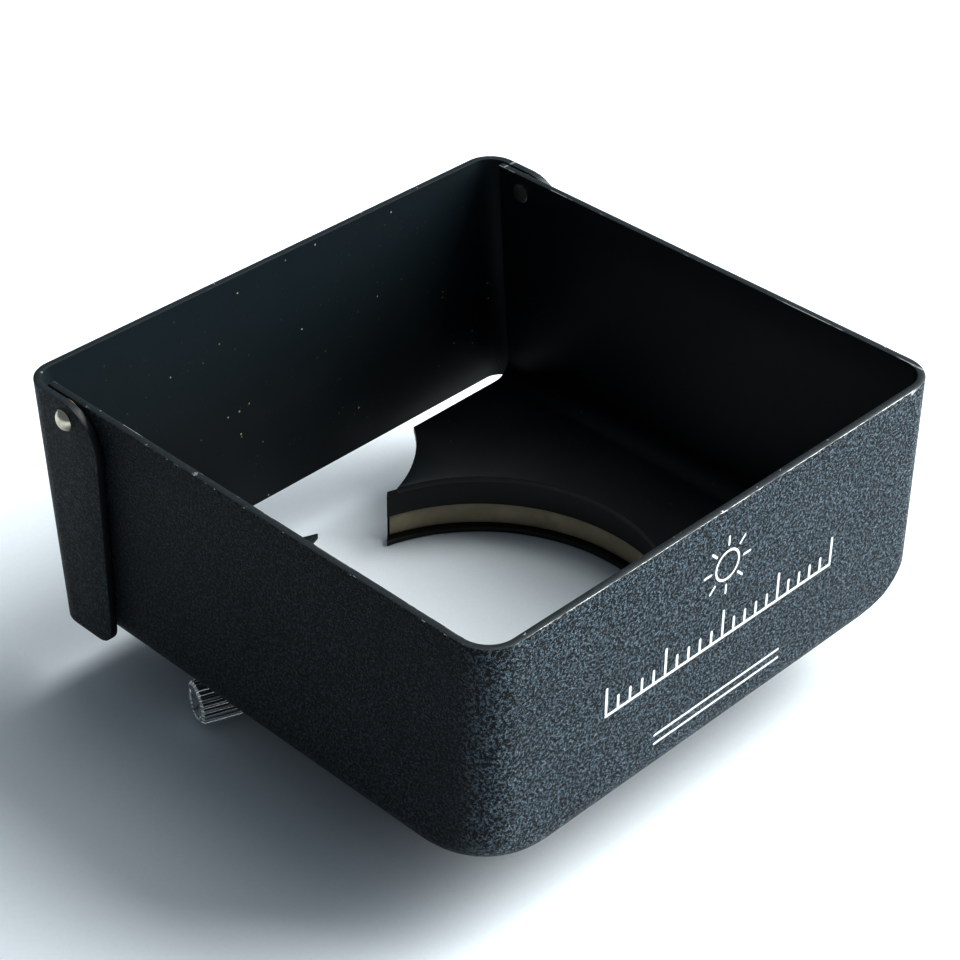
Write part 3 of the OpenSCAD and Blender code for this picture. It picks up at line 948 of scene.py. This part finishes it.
def build_marks(settings):
    """Generic engraved marks on the flat wall: a small sun, a plain graduated rule and a double line."""
    bm = bmesh.new()
    thick, thin = 0.42 * MM, 0.34 * MM
    line_reach = 11.2 * MM
    build_sun(bm, (0.0, 34.3 * MM), thin)
    build_rule(bm, 23.7 * MM, thick)
    for level in (14.3 * MM, 15.6 * MM):
        stroke(bm, (-line_reach, level), (line_reach, level), thin)
    marks = make_object(bm, "engraved_marks", [fill_paint("fill_paint", settings.finish)])
    finish_piece(marks, "hood")


# ----------------------------------------------------------------------- stage


def area_light(name, place, aim, size, power, tint):
    """A round soft light that looks at a point."""
    light = bpy.data.lights.new(name, "AREA")
    light.shape, light.size, light.energy, light.color = "DISK", size, power, tint
    lamp = bpy.data.objects.new(name, light)
    direction = Vector(aim) - Vector(place)
    lamp.matrix_world = Matrix.Translation(place) @ direction.to_track_quat("-Z", "Y").to_matrix().to_4x4()
    bpy.context.scene.collection.objects.link(lamp)


def build_stage(settings):
    p = settings.stage
    scene = bpy.context.scene
    data = bpy.data.cameras.new("camera")
    data.lens, data.sensor_width = p.lens, 36
    data.clip_start, data.clip_end = 0.01, 20
    camera = bpy.data.objects.new("camera", data)
    back = Vector((math.sin(p.azimuth) * math.cos(p.elevation), -math.cos(p.azimuth) * math.cos(p.elevation),
                   math.sin(p.elevation)))
    level = (-back).to_track_quat("-Z", "Y").to_matrix().to_4x4()
    camera.matrix_world = Matrix.Translation(p.camera_place) @ level @ Matrix.Rotation(p.roll, 4, "Z")
    scene.collection.objects.link(camera)
    scene.camera = camera

    bm = bmesh.new()
    bmesh.ops.create_grid(bm, x_segments=2, y_segments=2, size=4)
    floor = make_object(bm, "floor", [floor_paper("floor_paper", p.floor_colour)])

    aim = (0, 0, 0.02)
    area_light("key_light", (1.00, -0.48, 0.78), aim, size=1.4, power=p.key_power, tint=(1.0, 0.99, 0.97))
    area_light("top_light", (0.45, 0.10, 1.4), aim, size=1.0, power=p.top_power, tint=(1.0, 0.99, 0.96))

    world = bpy.data.worlds.new("studio")
    world.use_nodes = True
    background = world.node_tree.nodes["Background"]
    background.inputs["Color"].default_value = (0.80, 0.91, 1.0, 1)
    background.inputs["Strength"].default_value = p.fill_strength
    scene.world = world
    scene.view_settings.view_transform = "Standard"
    scene.view_settings.gamma = 0.78


# ------------------------------------------------------------------- operators


class HOOD_OT_stage(bpy.types.Operator):
    """Camera, floor and lights"""
    bl_idname = "hood.stage"
    bl_label = "Build Stage"

    def execute(self, context):
        build_stage(context.scene.hood)
        return {"FINISHED"}


class HOOD_OT_shell(bpy.types.Operator):
    """Pressed shell with its floor"""
    bl_idname = "hood.shell"
    bl_label = "Build Shell"

    def execute(self, context):
        build_shell(context.scene.hood)
        return {"FINISHED"}


class HOOD_OT_flap(bpy.types.Operator):
    """Swing-out flap"""
    bl_idname = "hood.flap"
    bl_label = "Build Flap"

    def execute(self, context):
        build_flap(context.scene.hood)
        return {"FINISHED"}


class HOOD_OT_rivets(bpy.types.Operator):
    """The two pivot rivets"""
    bl_idname = "hood.rivets"
    bl_label = "Build Rivets"

    def execute(self, context):
        build_rivets(context.scene.hood)
        return {"FINISHED"}


class HOOD_OT_ring(bpy.types.Operator):
    """Open clamp ring and its felt lining"""
    bl_idname = "hood.ring"
    bl_label = "Build Clamp Ring"

    def execute(self, context):
        build_ring(context.scene.hood)
        build_lining(context.scene.hood)
        return {"FINISHED"}


class HOOD_OT_screw(bpy.types.Operator):
    """Threaded bush and knurled thumbscrew"""
    bl_idname = "hood.screw"
    bl_label = "Build Thumbscrew"

    def execute(self, context):
        build_bush(context.scene.hood)
        build_thumbscrew(context.scene.hood)
        return {"FINISHED"}


class HOOD_OT_small_parts(bpy.types.Operator):
    """Finishes of the washers, the pressure shoe and its pad"""
    bl_idname = "hood.small_parts"
    bl_label = "Dress Small Parts"

    def execute(self, context):
        dress_kept_nodes(context.scene.hood)
        return {"FINISHED"}


class HOOD_OT_marks(bpy.types.Operator):
    """Generic engraved marks on the flat wall"""
    bl_idname = "hood.marks"
    bl_label = "Build Marks"

    def execute(self, context):
        build_marks(context.scene.hood)
        return {"FINISHED"}


class HOOD_PT_panel(bpy.types.Panel):
    """Lists the steps that build the hood"""
    bl_idname = "HOOD_PT_panel"
    bl_label = "Lens Hood"
    bl_space_type = "VIEW_3D"
    bl_region_type = "UI"
    bl_category = "Lens Hood"

    def draw(self, context):
        for operator in OPERATORS:
            self.layout.operator(operator.bl_idname)


OPERATORS = (HOOD_OT_stage, HOOD_OT_shell, HOOD_OT_flap, HOOD_OT_rivets, HOOD_OT_ring, HOOD_OT_screw,
             HOOD_OT_small_parts, HOOD_OT_marks)
CLASSES = (ShellSettings, FlapSettings, RingSettings, ScrewSettings, FinishSettings, StageSettings,
           HoodSettings, *OPERATORS, HOOD_PT_panel)


def register():
    for cls in CLASSES:
        bpy.utils.register_class(cls)
    bpy.types.Scene.hood = PointerProperty(type=HoodSettings)


def unregister():
    del bpy.types.Scene.hood
    for cls in reversed(CLASSES):
        bpy.utils.unregister_class(cls)


def main():
    register()
    bpy.ops.hood.stage()
    bpy.ops.hood.shell()
    bpy.ops.hood.flap()
    bpy.ops.hood.rivets()
    bpy.ops.hood.ring()
    bpy.ops.hood.screw()
    bpy.ops.hood.small_parts()
    bpy.ops.hood.marks()


if __name__ == "__main__":
    main()
